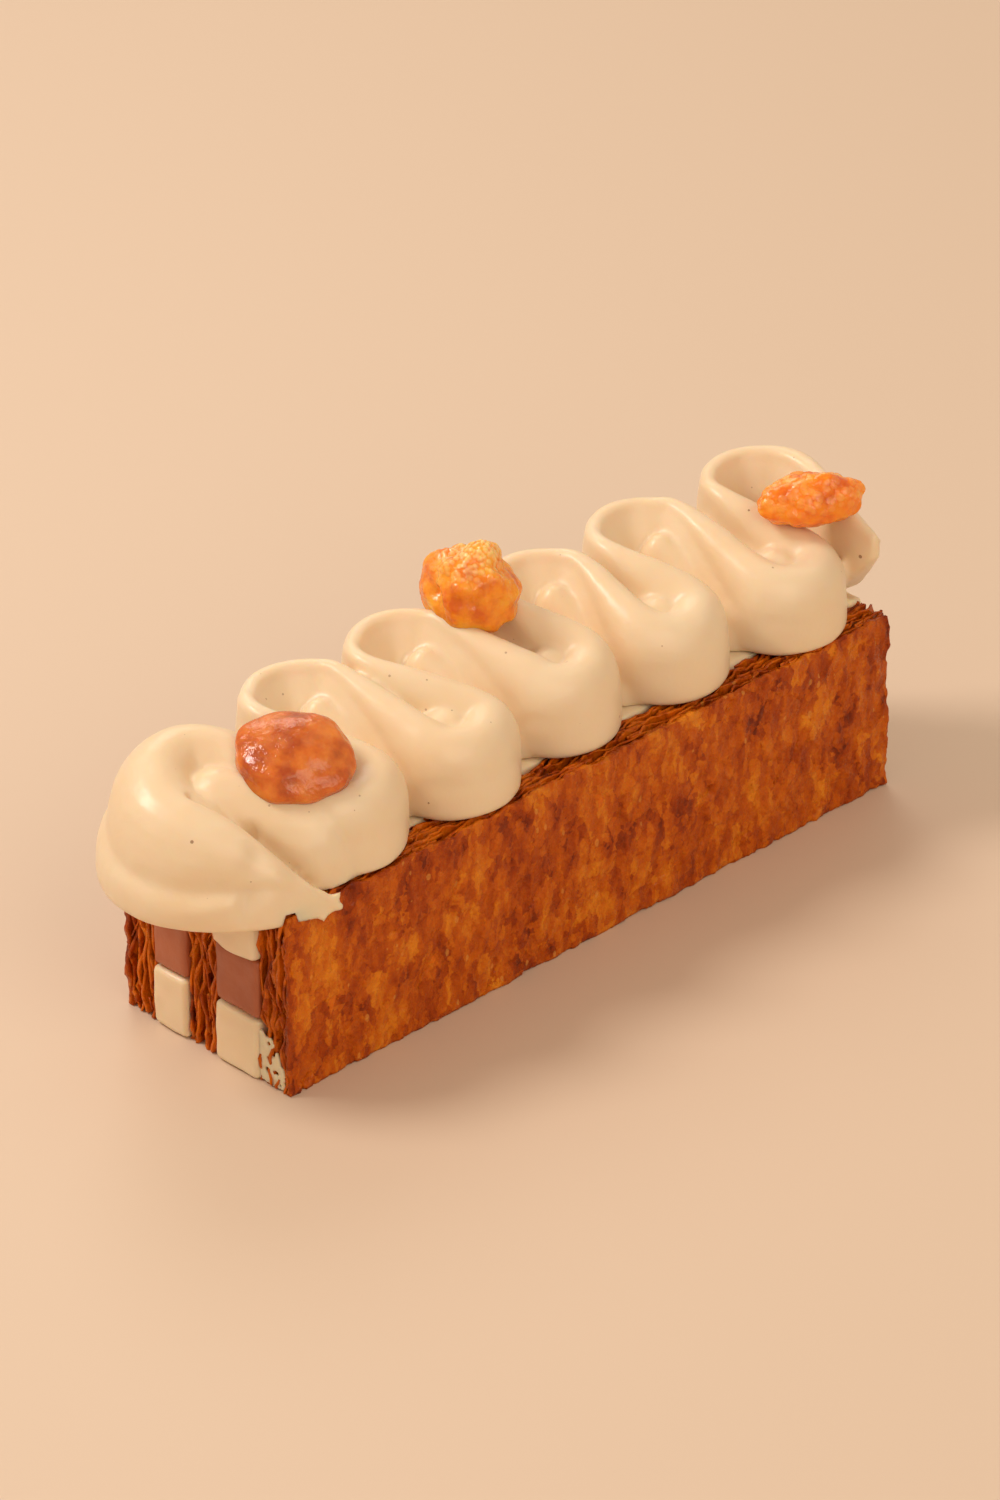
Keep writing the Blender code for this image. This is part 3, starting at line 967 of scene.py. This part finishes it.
def fruitLump(node, fruit):
    bm = bmesh.new()
    bmesh.ops.create_icosphere(bm, subdivisions=7, radius=1.0)
    marks = bm.verts.layers.float.new("grain")
    seed = fruit["seed"]
    half = Vector(fruit["half"])
    for v in bm.verts:
        way = v.co.copy()
        broad = noise.noise(way * broadBumps + Vector((seed, 0, 0)))
        fine = noise.noise(way * fineBumps + Vector((0, seed, 0)))
        v.co = way * (1 + fruit["relief"] * (broad + fine / 2)) * half
        near, _ = noise.voronoi(v.co / facetSize + Vector((seed, seed, 0)))
        facet = fruit["facet"] * (near[1] - near[0] - 0.35)
        dots, _ = noise.voronoi(v.co / fruit["grainSize"] + Vector((0, seed, 0)))
        grain = math.sqrt(max(0.0, 1 - (dots[0] / grainReach) ** 2))
        share = smoothStep(way.z, fruit["grainsFrom"] - 0.5, fruit["grainsFrom"] + 0.3)
        v.co += way * (facet + fruit["grain"] * grain * (0.25 + 0.75 * share))
        v[marks] = grain * share
    turn = Matrix.Rotation(math.radians(fruit["turn"]), 4, "Z")
    tilt = Matrix.Rotation(math.radians(fruit["tilt"]), 4, "X")
    put = Matrix.Translation(inBlock(*fruit["at"])) @ turn @ tilt @ Matrix.Scale(mm, 4)
    bmesh.ops.transform(bm, matrix=put, verts=bm.verts)
    bmesh.ops.recalc_face_normals(bm, faces=bm.faces)
    name = "candied_" + node
    addPiece(name, bm, fruitMaterial(name, fruit), node)


for node, fruit in fruits.items():
    fruitLump(node, fruit)
print("fruit placed")

# Floor, lights and camera
stage = {
    "floor": (0.69, 0.53, 0.395),
    "floorHalf": 3.0,
    "world": (1.0, 0.84, 0.68),
    "worldStrength": 0.56,
}


def addFloor():
    bm = bmesh.new()
    bmesh.ops.create_grid(bm, x_segments=1, y_segments=1, size=stage["floorHalf"])
    mesh = bpy.data.meshes.new("floor")
    bm.to_mesh(mesh)
    bm.free()
    material, _, shader = newMaterial("plain floor")
    shader.inputs["Base Color"].default_value = (*stage["floor"], 1.0)
    shader.inputs["Roughness"].default_value = 0.55
    mesh.materials.append(material)
    floor = bpy.data.objects.new("floor", mesh)
    bpy.context.scene.collection.objects.link(floor)


# bearing from the slice's front in degrees, height angle, distance in m, size in m, power in W, colour
lamps = {
    "keyLight": (-140, 50, 0.9, 0.30, 4.3, (1.0, 0.92, 0.85)),
    "fillLight": (-12, 36, 1.2, 0.9, 4.5, (1.0, 0.85, 0.69)),
    "rimLight": (150, 40, 1.0, 0.5, 1.6, (1.0, 0.90, 0.80)),
}
target = Vector((0.0, 0.0, 0.0265))
camera = {"bearing": -44.57, "angle": 30.4, "distance": 1.051, "lens": 172.0}


def fromTarget(bearing, angle, distance):
    turn = math.radians(bearing)
    rise = math.radians(angle)
    flat = math.cos(rise)
    return target + Vector((math.sin(turn) * flat, -math.cos(turn) * flat, math.sin(rise))) * distance


def aim(item, place):
    item.location = place
    item.rotation_euler = (target - place).to_track_quat("-Z", "Y").to_euler()
    bpy.context.scene.collection.objects.link(item)


addFloor()
for name, (bearing, angle, distance, size, power, colour) in lamps.items():
    lamp = bpy.data.lights.new(name, "AREA")
    lamp.shape = "DISK"
    lamp.size = size
    lamp.energy = power
    lamp.color = colour
    aim(bpy.data.objects.new(name, lamp), fromTarget(bearing, angle, distance))

world = bpy.data.worlds.new("studio")
world.use_nodes = True
world.node_tree.nodes["Background"].inputs["Color"].default_value = (*stage["world"], 1.0)
world.node_tree.nodes["Background"].inputs["Strength"].default_value = stage["worldStrength"]
bpy.context.scene.world = world

lens = bpy.data.cameras.new("camera")
lens.lens = camera["lens"]
lens.sensor_width = 36.0
lens.clip_start = 0.05
lens.clip_end = 20.0
view = bpy.data.objects.new("camera", lens)
aim(view, fromTarget(camera["bearing"], camera["angle"], camera["distance"]))
bpy.context.scene.camera = view
bpy.context.scene.view_settings.view_transform = "Standard"
print("stage set")
